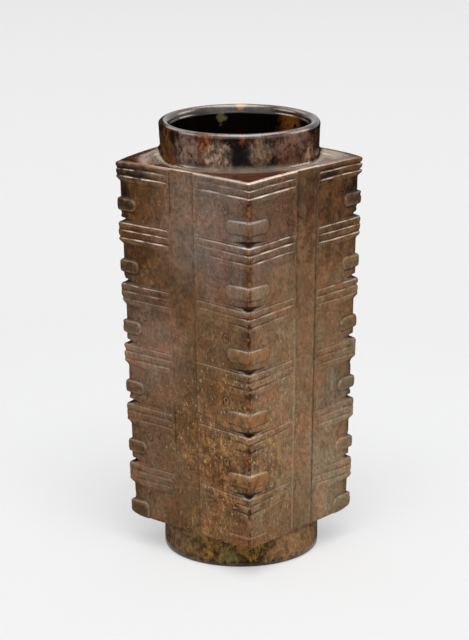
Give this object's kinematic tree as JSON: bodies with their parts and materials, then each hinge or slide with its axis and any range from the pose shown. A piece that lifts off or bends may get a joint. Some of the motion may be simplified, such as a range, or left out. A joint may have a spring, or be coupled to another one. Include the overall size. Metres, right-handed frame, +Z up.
{
  "type": "cong tube",
  "caption": "Tall square tube of polished brown stone with a round bore, a round collar and foot, and tiers of carved masks folded round its corners.",
  "frame": {"origin": "centre of the foot's flat underside, on the axis of the bore", "axes": "+Z up along the bore, out of the collar; X and Y square to the faces of the column"},
  "size_m": [0.074, 0.074, 0.1873],
  "materials": {
    "brown_stone": "polished, mottled brown with ochre and russet stains"
  },
  "bodies": {
    "root": {"cong_tube": "brown_stone"}
  },
  "joints": []
}
